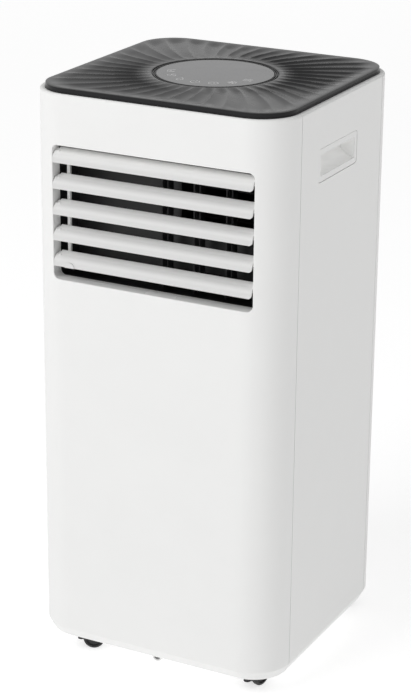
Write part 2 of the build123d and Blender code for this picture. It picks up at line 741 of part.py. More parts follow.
def filter_mesh():
    """The washable mesh screen clipped inside the upper grille."""
    width = GRILLE_WIDTH - 2
    height = FILTER_HEIGHT - 2
    screen = window(width, height, 4, FILTER_Z, (INSIDE_Y - 4.3, INSIDE_Y - 3.1))
    rim = window(width, height, 4, FILTER_Z, (INSIDE_Y - 6.5, INSIDE_Y - 3.1))
    return screen + rim - window(width - 8, height - 8, 2, FILTER_Z, (INSIDE_Y - 8, INSIDE_Y - 4.3))


def lower_grille():
    """The fixed intake grille of the condenser."""
    grille = bar_grille(LOWER_Z, LOWER_HEIGHT, GRILLE_BACK - 0.6, INSIDE_Y - 3)
    lip = window(GRILLE_WIDTH + 4, LOWER_HEIGHT + 8, 8, LOWER_Z, (INSIDE_Y - 3, INSIDE_Y - 0.3))
    return grille + lip - window(GRILLE_WIDTH - 16, LOWER_HEIGHT - 16, 2, LOWER_Z, (INSIDE_Y - 4, INSIDE_Y))


def rear_screws():
    """Four pan-head screws that hold the rear shell, and their shanks."""
    screws = []
    for x, z in SCREW_PLACES:
        head = rod(3.6, (x, BACK + 0.02, z), (x, GRILLE_BACK, z))
        shank = rod(SCREW_R - 0.2, (x, INSIDE_Y - 9, z), (x, BACK + 0.5, z))
        drive = block((x - 2.2, x + 2.2), (GRILLE_BACK - 0.6, GRILLE_BACK + 1), (z - 0.4, z + 0.4))
        cross = block((x - 0.4, x + 0.4), (GRILLE_BACK - 0.6, GRILLE_BACK + 1), (z - 2.2, z + 2.2))
        screws.append(head + shank - drive - cross)
    return Compound(children=screws)


# Base


def base_pan():
    """The moulded base: floor, walls, screw bosses, castor sockets and the drain's way down."""
    pan = prism(PAN_WIDTH, PAN_DEPTH, CORNER_R - 7.5, FLOOR_Z, PAN_WALL_TOP)
    pan -= prism(PAN_WIDTH - 5, PAN_DEPTH - 5, CORNER_R - 10, FLOOR_Z + FLOOR_T, PAN_WALL_TOP + 1)
    inside = prism(2 * INSIDE_X, 2 * INSIDE_Y, CORNER_R - WALL, SHELL_BOTTOM, PAN_WALL_TOP + 1)
    pan &= inside + tapered_skirt(WALL + 0.7)
    rail_r = CORNER_R - WALL - 0.3
    rail = prism(2 * INSIDE_X - 0.6, 2 * INSIDE_Y - 0.6, rail_r, PAN_WALL_TOP - 4, PAN_WALL_TOP)
    pan += rail - prism(PAN_WIDTH - 5, PAN_DEPTH - 5, CORNER_R - 10, PAN_WALL_TOP - 5, PAN_WALL_TOP + 1)
    for x, y, _ in CASTORS.values():
        pan += rod(9, (x, y, FLOOR_Z + 1), (x, y, FLOOR_Z + 20))
    for x, y, _ in CASTORS.values():
        pan -= rod(STEM_R + PIN_PLAY, (x, y, FLOOR_Z - 1), (x, y, FLOOR_Z + 17))
    for x, z in SCREW_PLACES[2:]:
        pan += block((x - 7, x + 7), (PAN_DEPTH / 2 - 12, INSIDE_Y - 0.3), (z - 7, z + 7))
        pan -= rod(SCREW_R - 0.1, (x, INSIDE_Y - 10, z), (x, INSIDE_Y + 1, z))
    return pan - rod(3, (DRAIN_X, DRAIN_FRONT + 16, FLOOR_Z - 1), (DRAIN_X, DRAIN_FRONT + 16, FLOOR_Z + 5))


def drain_spout():
    """The drain elbow under the base pan, open towards the front."""
    y = DRAIN_FRONT + 16
    spout = rod(DRAIN_R, (DRAIN_X, DRAIN_FRONT, DRAIN_Z), (DRAIN_X, y + 5, DRAIN_Z))
    spout += rod(DRAIN_R - 0.8, (DRAIN_X, y, DRAIN_Z), (DRAIN_X, y, FLOOR_Z - 0.1))
    spout -= rod(3.9, (DRAIN_X, DRAIN_FRONT - 1, DRAIN_Z), (DRAIN_X, y + 3, DRAIN_Z))
    return spout - rod(3, (DRAIN_X, y, DRAIN_Z), (DRAIN_X, y, FLOOR_Z + 1))


def drain_plug():
    """The rubber plug in the drain spout."""
    plug = rod(3.8, (DRAIN_X, DRAIN_FRONT + 0.8, DRAIN_Z), (DRAIN_X, DRAIN_FRONT + 10, DRAIN_Z))
    return plug - rod(2.2, (DRAIN_X, DRAIN_FRONT, DRAIN_Z), (DRAIN_X, DRAIN_FRONT + 2.4, DRAIN_Z))


def castor_place(x, y, turn):
    """A castor's own frame: swivel axis at its origin, trailing along its X."""
    return Pos(x, y, 0) * Rot(0, 0, turn)


def castor_fork():
    """A castor's stem, turntable and the web between its wheels, in the castor's own frame."""
    stem = rod(STEM_R, (0, 0, FLOOR_Z - 1), (0, 0, FLOOR_Z + 16))
    table = rod(10.5, (0, 0, WHEEL_R * 2 + 0.6), (0, 0, FLOOR_Z - FIT_GAP))
    post = rod(STEM_R, (0, 0, 8), (0, 0, 2 * WHEEL_R + 1))
    hood = rod(HOOD_R, (0, 0, HOOD_Z), (0, 0, 2 * WHEEL_R + 1))
    hood -= block((CASTOR_TRAIL - WHEEL_R - 1, 20), (-20, 20), (0, 30))
    nose = block((0, CASTOR_TRAIL), (-2.4, 2.4), (8, 2 * WHEEL_R + 1))
    web = rod(10.6, (CASTOR_TRAIL, -2.4, WHEEL_R), (CASTOR_TRAIL, 2.4, WHEEL_R))
    hole = rod(2 + PIN_PLAY, (CASTOR_TRAIL, -5, WHEEL_R), (CASTOR_TRAIL, 5, WHEEL_R))
    return stem + table + post + hood + nose + web - hole


def castor_wheels():
    """A castor's two wheels on their axle, in the castor's own frame."""
    pair = rod(2, (CASTOR_TRAIL, -5, WHEEL_R), (CASTOR_TRAIL, 5, WHEEL_R))
    for side in (-1, 1):
        near = side * 3.0
        far = side * (3.0 + WHEEL_WIDTH)
        wheel = rod(WHEEL_R, (CASTOR_TRAIL, near, WHEEL_R), (CASTOR_TRAIL, far, WHEEL_R))
        wheel = fillet(wheel.edges().filter_by(GeomType.CIRCLE), WHEEL_EDGE)
        wheel -= pipe(8.8, 4.4, (CASTOR_TRAIL, side * 8.2, WHEEL_R), (CASTOR_TRAIL, side * 12, WHEEL_R))
        pair += wheel
    return pair


def main():
    """Make every piece and write it."""
    os.makedirs("parts", exist_ok=True)
    ring = cabinet_ring()
    save("front_shell", front_shell(ring))
    save("left_side_panel", side_panel(ring, -1))
    save("right_side_panel", side_panel(ring, 1))
    save("rear_shell", rear_shell(ring))
    save("left_hand_grip", hand_grip(-1))
    save("right_hand_grip", hand_grip(1))
    save("top_lid", top_lid())
    save("control_bezel", control_bezel())
    save("control_glass", control_glass())
    save("display_board", display_board())
    save("outlet_frame", outlet_frame())
    for index in range(LOUVRES):
        save(f"louvre_{index + 1}", louvre(index))
    save("louvre_link_bar", louvre_link_bar())
    save("outlet_duct", outlet_duct())
    for index in range(VANES):
        save(f"vane_{index + 1}", vane(index))
    save("vane_tie_bar", vane_tie_bar())
    blower = scroll((3, 113), (FAN_Y, FAN_Z), 82, DUCT_BACK + 2.2, 48, 12)
    save("blower_scroll", blower + scroll_feet(FAN_Y, DECK_Z + 3, FAN_Z - 72, (10, 106)))
    save("blower_wheel", fan_wheel((8, 106), (FAN_Y, FAN_Z), FAN_R, -40))
    save("blower_motor", fan_motor((-72, 2.8), (FAN_Y, FAN_Z), 38))
    condenser = (CONDENSER_FAN_Y, CONDENSER_FAN_Z)
    save("condenser_scroll", scroll((20, 110), condenser, 72, 50, 44, 12))
    save("condenser_fan_wheel", fan_wheel((25, 103), condenser, CONDENSER_FAN_R, -6))
    save("condenser_fan_motor", fan_motor((-24, 19.8), condenser, 30))
    save("evaporator_coil", coil((412, 606), (89, 113)))
    save("condenser_coil", coil((64, 236), (92, 118)))
    save("mid_deck", mid_deck())
    save("exhaust_duct", exhaust_duct())
    save("exhaust_socket", exhaust_socket())
    save("compressor", compressor())
    save("compressor_mounts", compressor_mounts())
    save("accumulator", accumulator())
    save("refrigerant_pipes", refrigerant_pipes())
    save("splash_motor", splash_motor())
    save("splash_wheel", splash_wheel())
    save("electrics_box", electrics_box())
    save("main_board", main_board())
    save("run_capacitor", run_capacitor())
    save("cord_gland", cord_gland())
    save("filter_grille", filter_grille())
    save("filter_mesh", filter_mesh())
    save("lower_grille", lower_grille())
    save("rear_screws", rear_screws())
    save("base_pan", base_pan())
    save("drain_spout", drain_spout())
    save("drain_plug", drain_plug())
    for name, (x, y, turn) in CASTORS.items():
        save(f"castor_fork_{name}", castor_place(x, y, turn) * castor_fork())
        save(f"castor_wheels_{name}", castor_place(x, y, turn) * castor_wheels())


main()
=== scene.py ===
import bmesh
import bpy
import json
from math import atan2, cos, hypot, pi, radians, sin
from mathutils import Matrix, Vector


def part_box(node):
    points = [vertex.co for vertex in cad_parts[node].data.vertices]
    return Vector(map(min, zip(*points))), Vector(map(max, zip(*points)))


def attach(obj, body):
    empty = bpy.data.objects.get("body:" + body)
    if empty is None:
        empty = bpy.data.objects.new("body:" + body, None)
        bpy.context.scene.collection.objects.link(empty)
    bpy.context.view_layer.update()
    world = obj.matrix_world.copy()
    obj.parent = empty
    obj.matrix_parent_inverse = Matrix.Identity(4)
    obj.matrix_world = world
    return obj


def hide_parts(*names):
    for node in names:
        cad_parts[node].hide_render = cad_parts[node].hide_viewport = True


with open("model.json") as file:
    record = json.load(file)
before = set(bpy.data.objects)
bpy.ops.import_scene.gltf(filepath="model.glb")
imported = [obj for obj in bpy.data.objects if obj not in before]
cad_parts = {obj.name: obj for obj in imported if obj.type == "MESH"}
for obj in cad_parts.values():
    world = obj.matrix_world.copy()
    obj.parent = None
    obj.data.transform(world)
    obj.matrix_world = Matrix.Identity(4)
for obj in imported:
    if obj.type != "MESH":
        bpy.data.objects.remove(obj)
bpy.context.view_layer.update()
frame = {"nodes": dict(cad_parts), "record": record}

# A portable room air conditioner: a white rounded tower with hand-set louvres, a dark fluted lid
# round a touch disc, and small twin-wheel castors. Metres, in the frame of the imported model.

MM = 0.001
WELD = 1e-6
SPIN_WELD = 1e-7
LID_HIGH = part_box("top_lid")[1]
LID_TOP = LID_HIGH.z
FOOT_STEP = 0.8 * MM
HALF_WIDTH = LID_HIGH.x - FOOT_STEP
HALF_DEPTH = LID_HIGH.y - FOOT_STEP
LID_CORNER = 41 * MM
DISC_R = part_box("control_bezel")[1].x
GLASS_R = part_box("control_glass")[1].x
GLASS_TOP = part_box("control_glass")[1].z


# Materials


def linear(hex_colour):
    """An sRGB hex colour as linear RGBA."""
    channels = [int(hex_colour[start : start + 2], 16) / 255 for start in (0, 2, 4)]
    return [c / 12.92 if c <= 0.04045 else ((c + 0.055) / 1.055) ** 2.4 for c in channels] + [1]


def add_node(tree, kind, values=None, links=None, **settings):
    """Add a node with its settings, socket values and incoming links."""
    node = tree.nodes.new(kind)
    for key, value in settings.items():
        setattr(node, key, value)
    for key, value in (values or {}).items():
        node.inputs[key].default_value = value
    for key, socket in (links or {}).items():
        tree.links.new(socket, node.inputs[key])
    return node


def start_material(name, **shader_values):
    """A new material's node tree, its shader and the piece's own coordinates."""
    material = bpy.data.materials.new(name)
    material.use_nodes = True
    tree = material.node_tree
    tree.nodes.clear()
    values = {key.replace("_", " "): value for key, value in shader_values.items()}
    shader = add_node(tree, "ShaderNodeBsdfPrincipled", values)
    add_node(tree, "ShaderNodeOutputMaterial", links={"Surface": shader.outputs[0]})
    place = add_node(tree, "ShaderNodeTexCoord").outputs["Object"]
    return material, tree, shader, place


def vary(tree, shader, place, hexes, roughness, patch_mm):
    """Let the colour and the roughness drift slowly between two values each."""
    drift = add_node(
        tree,
        "ShaderNodeTexNoise",
        {"Scale": 1 / (patch_mm * MM), "Detail": 3, "Roughness": 0.55},
        {"Vector": place},
    )
    tint = add_node(
        tree,
        "ShaderNodeMix",
        {6: linear(hexes[0]), 7: linear(hexes[1])},
        {0: drift.outputs[0]},
        data_type="RGBA",
    )
    tree.links.new(tint.outputs[2], shader.inputs["Base Color"])
    rough = add_node(
        tree,
        "ShaderNodeMapRange",
        {"From Min": 0.3, "From Max": 0.7, "To Min": roughness[0], "To Max": roughness[1]},
        {"Value": drift.outputs[0]},
    )
    tree.links.new(rough.outputs[0], shader.inputs["Roughness"])


def grain(tree, shader, place, size_mm, depth_mm, stretch=(1, 1, 1)):
    """Surface grain of a real size and depth, drawn longer along an axis by stretch."""
    mapping = add_node(tree, "ShaderNodeMapping", {"Scale": stretch}, {"Vector": place})
    noise = add_node(
        tree,
        "ShaderNodeTexNoise",
        {"Scale": 1 / (size_mm * MM), "Detail": 2, "Roughness": 0.6},
        {"Vector": mapping.outputs[0]},
    )
    bump = add_node(
        tree,
        "ShaderNodeBump",
        {"Strength": 1, "Distance": depth_mm * MM},
        {"Height": noise.outputs[0]},
    )
    tree.links.new(bump.outputs[0], shader.inputs["Normal"])


def moulded(name, hexes, roughness, size_mm, depth_mm, patch_mm=60, **shader_values):
    """A moulded, cast or painted surface: slow drift of tone and an even grain."""
    material, tree, shader, place = start_material(name, **shader_values)
    vary(tree, shader, place, hexes, roughness, patch_mm)
    grain(tree, shader, place, size_mm, depth_mm)
    return material


def drawn(name, hexes, roughness, size_mm, depth_mm, patch_mm, stretch):
    """Bare metal with fine marks along the way that it was drawn or rolled."""
    material, tree, shader, place = start_material(name, Metallic=1)
    vary(tree, shader, place, hexes, roughness, patch_mm)
    grain(tree, shader, place, size_mm, depth_mm, stretch)
    return material


def banded(name, hexes, roughness, pitch_mm, depth_mm, axis, **shader_values):
    """A surface built of thin parallel sheets, such as a finned coil, with painted shade in the dark
    bands between them.

    A wave texture at scale 1 repeats every pi / 10 metres.
    """
    material, tree, shader, place = start_material(name, **shader_values)
    wave = add_node(
        tree,
        "ShaderNodeTexWave",
        {"Scale": pi / (10 * pitch_mm * MM), "Distortion": 0.4, "Detail": 1, "Detail Scale": 2},
        {"Vector": place},
        bands_direction=axis,
        wave_profile="SIN",
    )
    tint = add_node(
        tree,
        "ShaderNodeMix",
        {6: linear(hexes[0]), 7: linear(hexes[1])},
        {0: wave.outputs["Fac"]},
        data_type="RGBA",
    )
    tree.links.new(tint.outputs[2], shader.inputs["Base Color"])
    bump = add_node(
        tree,
        "ShaderNodeBump",
        {"Strength": 1, "Distance": depth_mm * MM},
        {"Height": wave.outputs["Fac"]},
    )
    tree.links.new(bump.outputs[0], shader.inputs["Normal"])
    shader.inputs["Roughness"].default_value = roughness
    return material


def painted_depth_shading(name, hexes, roughness, outer_mm, depth_mm, axis):
    """Colour painted as light and shade: it grades to its outer colour over a depth below its outer
    face.

    The outer face is that far from the middle of the object along the axis, 0 for X or 1 for Y.
    """
    material, tree, shader, place = start_material(name)
    across = add_node(tree, "ShaderNodeSeparateXYZ", links={"Vector": place})
    out = add_node(tree, "ShaderNodeMath", links={0: across.outputs[axis]}, operation="ABSOLUTE")
    depth = add_node(
        tree,
        "ShaderNodeMapRange",
        {"From Min": (outer_mm - depth_mm) * MM, "From Max": outer_mm * MM},
        {"Value": out.outputs[0]},
    )
    tint = add_node(
        tree,
        "ShaderNodeMix",
        {6: linear(hexes[0]), 7: linear(hexes[1])},
        {0: depth.outputs[0]},
        data_type="RGBA",
    )
    tree.links.new(tint.outputs[2], shader.inputs["Base Color"])
    shader.inputs["Roughness"].default_value = roughness
    return material


def woven(name, hexes, roughness, pitch_mm, depth_mm):
    """A square open weave of round threads, level and upright, the holes between them painted dark as
    shade.
    """
    material, tree, shader, place = start_material(name)
    across = add_node(tree, "ShaderNodeSeparateXYZ", links={"Vector": place})
    heights = []
    for way in (0, 2):
        turn = add_node(
            tree,
            "ShaderNodeMath",
            {1: 2 * pi / (pitch_mm * MM)},
            {0: across.outputs[way]},
            operation="MULTIPLY",
        )
        wave = add_node(tree, "ShaderNodeMath", links={0: turn.outputs[0]}, operation="SINE")
        heights.append(wave.outputs[0])
    thread = add_node(
        tree, "ShaderNodeMath", links={0: heights[0], 1: heights[1]}, operation="MAXIMUM"
    )
    shade = add_node(
        tree, "ShaderNodeMapRange", {"From Min": -0.6, "From Max": 0.9}, {"Value": thread.outputs[0]}
    )
    tint = add_node(
        tree,
        "ShaderNodeMix",
        {6: linear(hexes[0]), 7: linear(hexes[1])},
        {0: shade.outputs[0]},
        data_type="RGBA",
    )
    tree.links.new(tint.outputs[2], shader.inputs["Base Color"])
    bump = add_node(
        tree, "ShaderNodeBump", {"Strength": 1, "Distance": depth_mm * MM}, {"Height": shade.outputs[0]}
    )
    tree.links.new(bump.outputs[0], shader.inputs["Normal"])
    shader.inputs["Roughness"].default_value = roughness
    return material


# White ABS from a spark-eroded mould: an even satin. Its dust-fine grain is drawn at 1.2 mm, so
# that it shows as softness in the highlights.
WHITE_ABS = moulded(
    "spark_textured_white_abs", ("EEEEED", "F2F2F1"), (0.42, 0.5), size_mm=1.2, depth_mm=0.008
)
# White ABS from a polished mould, painted a brighter white to lift the shade in the outlet's reveal.
LIGHTENED_GLOSS_ABS = moulded(
    "polished_white_abs_painted_light", ("F9F9F8", "FBFBFA"), (0.24, 0.3), size_mm=6, depth_mm=0.006
)
# White ABS of the grips: the pocket painted whiter than the flange, to lift the shade inside it.
GRIP_ABS_LIT_POCKET = painted_depth_shading(
    "white_abs_painted_lit_pocket", ("FDFDFC", "EFEFEE"), 0.45, outer_mm=149.6, depth_mm=1.2, axis=0
)
# White ABS of the louvres: the lit front lips painted greyer and the shaded slopes painted whiter, to
# even out the light across them.
LOUVRE_ABS_EVENED_LIGHT = painted_depth_shading(
    "louvre_abs_painted_light", ("FCFCFB", "DCDCDB"), 0.42, outer_mm=143.6, depth_mm=8, axis=1
)
# Black ABS from a satin mould, with a grey sheen where it is seen at a low angle.
LID_ABS = moulded(
    "satin_black_abs",
    ("1C1C1D", "212122"),
    (0.25, 0.31),
    size_mm=1.4,
    depth_mm=0.01,
    patch_mm=45,
)
# Deep black ABS of the disc's ring, dark enough to draw a line between the lid and the disc.
RING_ABS = moulded(
    "polished_black_abs",
    ("0C0C0D", "101011"),
    (0.3, 0.36),
    size_mm=8,
    depth_mm=0.004,
    Specular_IOR_Level=0.22,
)
# Black ABS of the lid's edge, left dull by its mould, so it stays darker than the sheen of the top.
EDGE_ABS = moulded(
    "dull_black_abs",
    ("262627", "2A2A2B"),
    (0.2, 0.28),
    size_mm=1.4,
    depth_mm=0.006,
    Specular_IOR_Level=0.12,
)
# Back-printed grey acrylic: flat as glass, with the faint haze that wiping leaves.
DISC_ACRYLIC = moulded(
    "back_printed_grey_acrylic",
    ("5C5C5D", "626263"),
    (0.1, 0.2),
    size_mm=40,
    depth_mm=0.004,
    patch_mm=22,
    IOR=1.49,
)
# Screen-printed light ink: matt and a little raised.
ICON_INK = moulded(
    "screen_printed_ink", ("DADADA", "E2E2E2"), (0.5, 0.6), size_mm=0.8, depth_mm=0.004
)
# Black polypropylene: slightly waxy, with a soft wide highlight.
BLACK_PP = moulded(
    "moulded_black_polypropylene", ("1B1B1C", "222223"), (0.38, 0.52), size_mm=1.6, depth_mm=0.015
)
# Grey polystyrene of the inner deck: dull and even.
GREY_PS = moulded(
    "moulded_grey_polystyrene", ("B4B4B3", "BCBCBB"), (0.5, 0.62), size_mm=2, depth_mm=0.015
)
# Baked enamel over a pressed steel can: wavy orange-peel and a clean highlight.
ENAMEL = moulded(
    "black_baked_enamel", ("141415", "1A1A1B"), (0.22, 0.3), size_mm=2.5, depth_mm=0.02
)
# Grey stove paint of a motor can: matt, with fine orange-peel.
STOVE_PAINT = moulded(
    "grey_stove_paint", ("8E8E90", "969698"), (0.38, 0.48), size_mm=2, depth_mm=0.02
)
# Hot-dip galvanised sheet: big soft patches of spangle in a dull metal.
GALVANISED = moulded(
    "galvanised_sheet_steel",
    ("A9ADB0", "C3C6C8"),
    (0.3, 0.5),
    size_mm=3,
    depth_mm=0.01,
    patch_mm=9,
    Metallic=1,
)
# Coated aluminium fins, 1.4 mm apart and drawn 2.4 mm apart so that the fins show; the dark bands
# between them are painted shade.
FINS = banded(
    "coated_aluminium_fins",
    ("5F6B73", "C9D2D6"),
    0.38,
    pitch_mm=2.4,
    depth_mm=0.5,
    axis="X",
    Metallic=0.8,
)
# Drawn copper tube: warm, with long draw marks 0.6 mm wide.
COPPER = drawn(
    "drawn_copper_tube",
    ("B9714F", "CC8763"),
    (0.22, 0.36),
    size_mm=0.6,
    depth_mm=0.01,
    patch_mm=25,
    stretch=(1, 1, 0.15),
)
# Zinc-plated steel of the screws: pale and a little uneven.
ZINC = drawn(
    "zinc_plated_steel",
    ("B4B6B8", "CBCCCE"),
    (0.25, 0.4),
    size_mm=0.6,
    depth_mm=0.01,
    patch_mm=25,
    stretch=(1, 0.3, 1),
)
# Nitrile rubber: matt, a little dusty.
RUBBER = moulded(
    "moulded_nitrile_rubber", ("8F8F8F", "999999"), (0.6, 0.72), size_mm=1.5, depth_mm=0.02
)
# Woven nylon air filter, 1 mm threads drawn 3 mm apart so that the weave shows; the holes between the
# threads are painted dark as shade.
NYLON = woven("woven_nylon_mesh", ("0E0F10", "4A4D50"), 0.6, pitch_mm=3, depth_mm=0.3)
# Green solder mask over the boards' copper: satin, in patches of two close greens.
BOARD = moulded(
    "green_solder_mask",
    ("17472B", "1F5634"),
    (0.28, 0.4),
    size_mm=3,
    depth_mm=0.02,
    patch_mm=6,
)

BY_SLOT = {
    "white_abs": WHITE_ABS,
    "louvre_abs": LOUVRE_ABS_EVENED_LIGHT,
    "dark_abs": LID_ABS,
    "control_panel": DISC_ACRYLIC,
    "board": BOARD,
    "black_abs": BLACK_PP,
    "grey_abs": GREY_PS,
    "motor_steel": STOVE_PAINT,
    "black_steel": ENAMEL,
    "galvanised_steel": GALVANISED,
    "fin_aluminium": FINS,
    "copper": COPPER,
    "rubber": RUBBER,
    "filter_nylon": NYLON,
    "screw_steel": ZINC,
}

# Nodes that don't take their slot's usual material.
BY_NODE = {
    # Painted lighter to lift the shade in the outlet's reveal.
    "outlet_frame": LIGHTENED_GLOSS_ABS,
    # Pocket painted whiter to lift the shade inside the grips.
    "right_hand_grip": GRIP_ABS_LIT_POCKET,
    "left_hand_grip": GRIP_ABS_LIT_POCKET,
}

for part in frame["record"]["subparts"]:
    mesh = frame["nodes"][part["node"]].data
    mesh.materials.clear()
    mesh.materials.append(BY_NODE.get(part["node"], BY_SLOT[part["material_slot"]]))


# Making a piece


def finish_piece(mesh, name, materials, body, smooth_below=35):
    """Turn a bmesh into a named piece that rides on a body, smooth below an angle in degrees."""
    bmesh.ops.remove_doubles(mesh, verts=mesh.verts, dist=WELD)
    data = bpy.data.meshes.new(name)
    mesh.to_mesh(data)
    mesh.free()
    for material in materials:
        data.materials.append(material)
    piece = bpy.data.objects.new(name, data)
    bpy.context.scene.collection.objects.link(piece)
    data.shade_smooth()
    data.set_sharp_from_angle(angle=radians(smooth_below))
    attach(piece, body)
    return piece


def turned(profile, steps):
    """A bmesh turned about the Z axis from (radius, height) points."""
    mesh = bmesh.new()
    verts = [mesh.verts.new((radius, 0, height)) for radius, height in profile]
    edges = [mesh.edges.new(pair) for pair in zip(verts, verts[1:])]
    bmesh.ops.spin(
        mesh,
        geom=verts + edges,
        cent=(0, 0, 0),
        axis=(0, 0, 1),
        angle=2 * pi,
        steps=steps,
        use_merge=True,
    )
    bmesh.ops.remove_doubles(mesh, verts=mesh.verts, dist=SPIN_WELD)
    bmesh.ops.recalc_face_normals(mesh, faces=mesh.faces)
    return mesh


def stepped(start, steps_mm):
    """Profile points from (out from a start radius, down from the lid's top) in millimetres."""
    return [(start + out * MM, LID_TOP - down * MM) for out, down in steps_mm]


# Fluted lid. It is turned as a round plate of radius BEND, then drawn out to its square outline.

FLUTES = 40
FLUTE_TURN = radians(8.5)
SWIRL = radians(0.083) / MM
SWIRL_START = 86 * MM
SWIRL_ROUNDS = 6
FLUTE_DEPTH = 2.4 * MM
FLUTE_RISE = 24 * MM
FADE_END = 2 * MM
FADE_START = 25 * MM
DEEPEST = 0.62
STEPS_PER_FLUTE = 18
RINGS = 44
RING_EDGE = DISC_R + 0.5 * MM
BEND = 100 * MM
SKIN = 0.05 * MM
EDGE_TILT = 0.5
LID_WELL = [(0.1, 3.4), (0.1, 0.5)]
LID_EDGE = [(-0.35, 0.12), (0, 0.5), (0.05, 1), (0.05, 4.3), (0.8, 4.7), (0.8, 8.7)]
EDGE_ROUND = 0.9 * MM
LID_SMOOTH = 50
NEARLY_NOTHING = 1e-9


def outline_reach(angle, out):
    """Distance from the middle to the lid's outline, moved out by a distance, at an angle."""
    half_x = HALF_WIDTH + out
    half_y = HALF_DEPTH + out
    corner = LID_CORNER + out
    c = abs(cos(angle))
    s = abs(sin(angle))
    reach = min(half_x / max(c, NEARLY_NOTHING), half_y / max(s, NEARLY_NOTHING))
    middle_x = half_x - corner
    middle_y = half_y - corner
    if reach * c > middle_x and reach * s > middle_y:
        along = middle_x * c + middle_y * s
        aside = middle_x**2 + middle_y**2 - corner**2
        reach = along + (along**2 - aside) ** 0.5
    return reach


def ease(value, low, high):
    """Smooth step from 0 at low to 1 at high."""
    t = min(1, max(0, (value - low) / (high - low)))
    return t * t * (3 - 2 * t)


def flute_profile(turn):
    """Depth of one flute from crest to crest: a long slope down and a short one up."""
    if turn < DEEPEST:
        return sin(pi / 2 * turn / DEEPEST)
    return cos(pi / 2 * (turn - DEEPEST) / (1 - DEEPEST))


def shape_lid(mesh):
    """Move the turned lid's rings out to its square outline and press the flutes into its top."""
    for vert in mesh.verts:
        flat = hypot(vert.co.x, vert.co.y)
        start = atan2(vert.co.y, vert.co.x)
        share = min(1, (flat - RING_EDGE) / (BEND - RING_EDGE))
        angle = start
        for _ in range(SWIRL_ROUNDS):
            edge = outline_reach(angle, 0)
            reach = RING_EDGE + share * (edge - RING_EDGE)
            angle = start + FLUTE_TURN - SWIRL * max(0, reach - SWIRL_START)
        if flat > BEND:
            reach = outline_reach(angle, flat - BEND)
        vert.co.x = reach * cos(angle)
        vert.co.y = reach * sin(angle)
        if vert.co.z > LID_TOP - SKIN and 0 < share < 1:
            turn = start / (2 * pi) * FLUTES % 1
            climb = min(1, (reach - RING_EDGE) / FLUTE_RISE)
            rise = climb * (1.5 - 0.5 * climb**2)
            fade = ease(edge - reach, FADE_END, FADE_START)
            vert.co.z -= FLUTE_DEPTH * flute_profile(turn) * rise * fade


def fluted_lid():
    """The dark lid with its curved flutes, bevelled edge and stepped foot."""
    profile = stepped(DISC_R, LID_WELL)
    for index in range(RINGS + 1):
        share = index / RINGS
        profile.append((RING_EDGE + share * (BEND - RING_EDGE - EDGE_ROUND), LID_TOP))
    profile += stepped(BEND, LID_EDGE)
    mesh = turned(profile, FLUTES * STEPS_PER_FLUTE)
    shape_lid(mesh)
    mesh.normal_update()
    for face in mesh.faces:
        if face.normal.z < EDGE_TILT and face.calc_center_median().xy.length > BEND:
            face.material_index = 1
    materials = [LID_ABS, EDGE_ABS]
    return finish_piece(mesh, "fluted_lid", materials, "cabinet", LID_SMOOTH)


lid = fluted_lid()
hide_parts("top_lid")


# Control disc

RING_WIDTH = (DISC_R - GLASS_R) / MM
RING_INNER_LIP = [(0.2, 3.6), (0.2, 0.7), (0.4, 0.4), (1.2, 0.4)]
RING_GROOVES = [(1.5, 1.5), (2.4, 1.5), (2.7, 0.5), (3.5, 0.5), (3.8, 1.5), (5.2, 1.5)]
RING_OUTER_LIP = [(5.5, 0.2), (RING_WIDTH, 0.2), (RING_WIDTH, 3.6)]
RING_STEPS = 180
RING_SMOOTH = 25


def disc_ring():
    """The black ring round the touch disc, with two grooves."""
    section = stepped(GLASS_R, RING_INNER_LIP + RING_GROOVES + RING_OUTER_LIP)
    mesh = turned(section + section[:1], RING_STEPS)
    return finish_piece(mesh, "disc_ring", [RING_ABS], "cabinet", RING_SMOOTH)


ring = disc_ring()
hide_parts("control_bezel")

# Touch icons. Each is drawn about its own middle, in units of ICON_UNIT, as a list of lines.

ICON_R = 46.8 * MM
ICON_TURN = radians(24.7)
ICON_UNIT = 1.35 * MM
STROKE = 0.4 * MM
PRINT_RISE = 0.01 * MM
PRINT_FLATNESS = 0.12


def arc(radius, start, end, count=20, centre=(0, 0)):
    """Points of an arc from one angle to another in degrees."""
    points = []
    for index in range(count + 1):
        angle = radians(start + (end - start) * index / count)
        points.append((centre[0] + radius * cos(angle), centre[1] + radius * sin(angle)))
    return points


def snowflake():
    """Three crossing bars with small barbs: cooling."""
    lines = []
    for turn in range(6):
        c = cos(radians(60 * turn))
        s = sin(radians(60 * turn))
        lines.append([(0, 0), (4 * c, 4 * s)])
        for side in (-1, 1):
            tip = radians(60 * turn + 24 * side)
            lines.append([(2.4 * c, 2.4 * s), (3.6 * cos(tip), 3.6 * sin(tip))])
    return lines


def fan():
    """Three curled blades: fan."""
    lines = [arc(0.9, 0, 360)]
    for turn in range(3):
        base = radians(120 * turn + 90)
        middle = (2.4 * cos(base), 2.4 * sin(base))
        lines.append(arc(1.5, 120 * turn, 120 * turn + 300, 18, middle))
    return lines


def drop():
    """A drop of water: drying."""
    lower = arc(2.6, -200, 20, 20, (0, -1.0))
    return [[(0, 4.2)] + lower + [(0, 4.2)]]


def moon():
    """A crescent: sleep."""
    outer = arc(3.8, 60, 330, 22)
    inner = arc(2.9, 300, 95, 18, (1.6, 0.6))
    return [outer + inner + outer[:1]]


def clock():
    """A round dial with two hands: timer."""
    return [arc(3.8, 0, 360, 28), [(0, 2.4), (0, 0), (1.7, 0)]]


def power():
    """A broken ring with an upright bar: on and off."""
    return [arc(3.6, 120, 420, 26), [(0, 4.4), (0, 0.8)]]


def swing():
    """Three level waves: air swing."""
    lines = []
    for level in (-2.4, 0, 2.4):
        lines.append([(x / 3, level + 0.7 * sin(x / 2.4)) for x in range(-12, 13)])
    return lines


